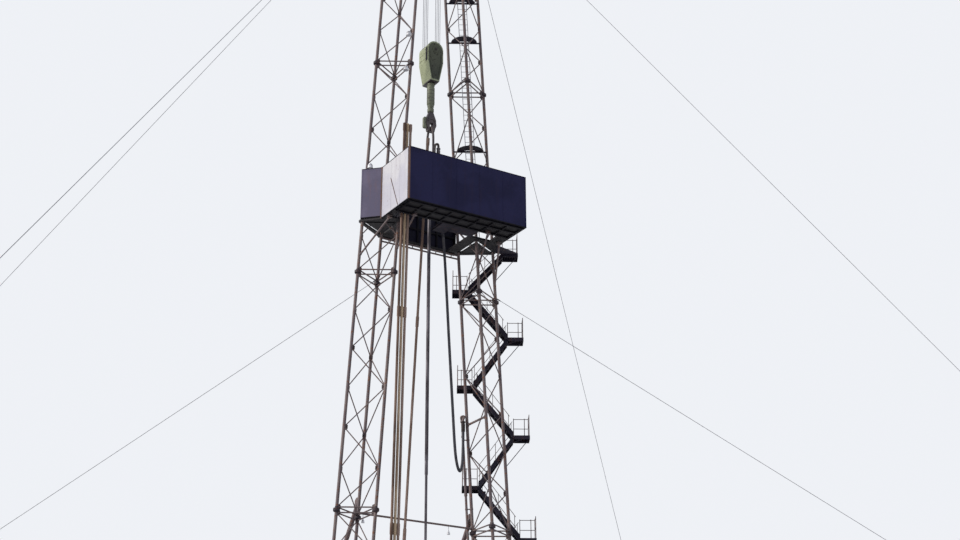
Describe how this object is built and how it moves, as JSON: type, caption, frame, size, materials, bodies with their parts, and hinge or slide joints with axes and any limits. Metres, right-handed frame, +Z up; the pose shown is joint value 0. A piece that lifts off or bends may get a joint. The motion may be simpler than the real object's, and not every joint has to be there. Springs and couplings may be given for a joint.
{
  "type": "oil drilling rig, 1:2 scale model",
  "caption": "Guyed two-legged lattice mast over a rig floor, with racking balcony, zigzag stair, hoisted travelling block, swivel, kelly and hanging rotary hose",
  "frame": {"origin": "on the ground under the well axis, at the middle of the four guy anchors", "axes": "+Z up, X from leg to leg, -Y the balcony's front"},
  "size_m": [35.5, 24.5, 26.96],
  "materials": {
    "steel": "weathered grey-brown paint",
    "dark": "dark grimy paint",
    "front": "dark blue sheet",
    "pale": "pale grey sheet",
    "right": "blue-grey sheet",
    "corner": "lilac-grey sheet",
    "back": "dark sheet",
    "floor": "brown chequered plate",
    "rail": "worn ochre paint",
    "pipe": "rusty drill pipe",
    "green": "worn yellow-green paint",
    "string": "muddy steel",
    "wire": "greased wire rope",
    "hose": "black rubber",
    "anchor": "grey anchor block",
    "lamp": "bright lamp housing"
  },
  "bodies": {
    "frame": {"base_skids": "dark", "substructure_posts": "dark", "substructure_bracing": "dark", "floor_beams": "dark", "rig_floor": "floor", "rotary_table": "dark", "floor_handrails": "rail", "leg_feet": "steel", "left_leg_section_1": "steel", "left_leg_section_2": "steel", "left_leg_section_3": "steel", "left_leg_section_4": "steel", "right_leg_section_1": "steel", "right_leg_section_2": "steel", "right_leg_section_3": "steel", "right_leg_section_4": "steel", "left_rear_strut": "steel", "right_rear_strut": "steel", "lower_belt": "steel", "upper_belt": "steel", "balcony_floor": "floor", "balcony_front_wall": "front", "balcony_left_wall": "pale", "balcony_right_wall": "right", "balcony_corner_panels": "corner", "balcony_back_wall": "back", "balcony_braces": "steel", "finger_board": "steel", "racked_pipes": "pipe", "stair_treads": "dark", "stair_stringers": "dark", "stair_landings": "dark", "stair_handrails": "dark", "leg_ladder": "dark", "rest_platforms": "dark", "floodlights": "lamp", "crown_frame": "steel", "crown_platform": "dark", "crown_sheaves": "dark", "gin_pole": "steel", "standpipe": "steel", "guy_ropes": "wire", "guy_anchors": "anchor", "hoist_lines": "wire", "rotary_hose": "hose"},
    "block": {"travelling_block": "green", "block_sheaves": "dark", "hook": "green", "swivel": "green"},
    "string": {"drill_string": "string"}
  },
  "joints": [
    {"name": "block_hoist", "type": "slide", "parent": "frame", "child": "block", "axis": [0, 0, 1], "range_m": [0, 2], "deforming": ["hoist_lines", "rotary_hose"]},
    {"name": "kelly_spin", "type": "hinge", "parent": "block", "child": "string", "pos_m": [0, 0, 14], "axis": [0, 0, 1], "continuous": true}
  ]
}
